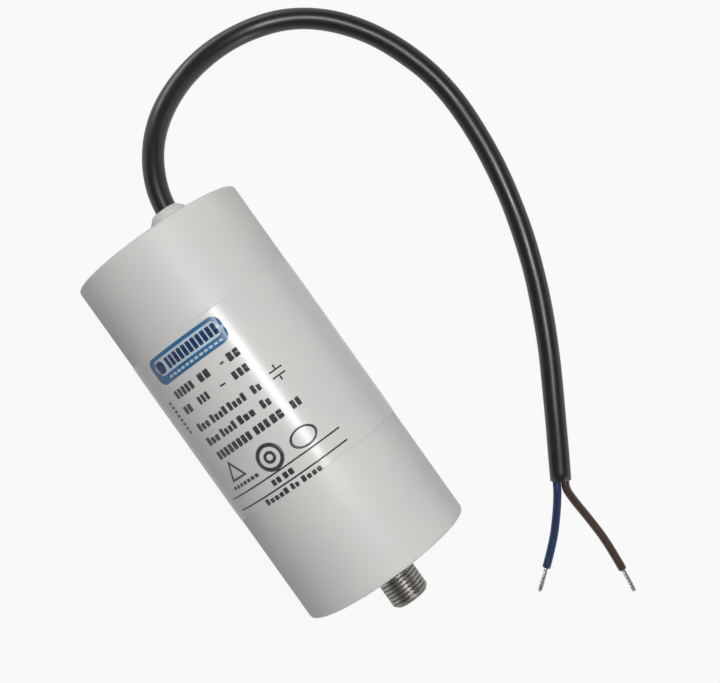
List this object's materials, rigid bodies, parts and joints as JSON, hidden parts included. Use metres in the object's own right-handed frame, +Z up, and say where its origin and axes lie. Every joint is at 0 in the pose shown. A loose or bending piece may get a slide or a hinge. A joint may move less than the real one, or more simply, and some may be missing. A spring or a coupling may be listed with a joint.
{
  "type": "motor run capacitor",
  "caption": "Round plastic motor run capacitor with a threaded fixing stud on its base and a sheathed lead with stripped cores from its lid, lying on its side.",
  "frame": {"origin": "on the table, under the middle of the body from the stud's tip to the collar's mouth, without the lead", "axes": "+X along the can from the stud to the lead, +Z up from the table the part lies on, the lead lies on the -Y side"},
  "size_m": [0.1795, 0.1072, 0.0452],
  "materials": {
    "can_plastic": "moulded, slightly translucent, satin",
    "stud_metal": "zinc plated, threaded",
    "label_print": "clear gloss film, printed",
    "sheath_plastic": "soft black cable sheath, satin",
    "blue_insulation": "blue core insulation, satin",
    "brown_insulation": "brown core insulation, satin",
    "bare_strands": "tinned copper strands, twisted",
    "core_tube_plastic": "extruded",
    "winding_film": "metallised film, tightly rolled, ends sprayed with metal",
    "resin": "poured and set"
  },
  "bodies": {
    "root": {"can": "can_plastic", "lid": "can_plastic", "stud": "stud_metal", "label_film": "label_print", "cable_sheath": "sheath_plastic", "blue_core": "blue_insulation", "brown_core": "brown_insulation", "blue_strands": "bare_strands", "brown_strands": "bare_strands", "core_tube": "core_tube_plastic", "winding": "winding_film", "blue_inner_lead": "blue_insulation", "brown_inner_lead": "brown_insulation", "potting_resin": "resin"}
  },
  "joints": []
}
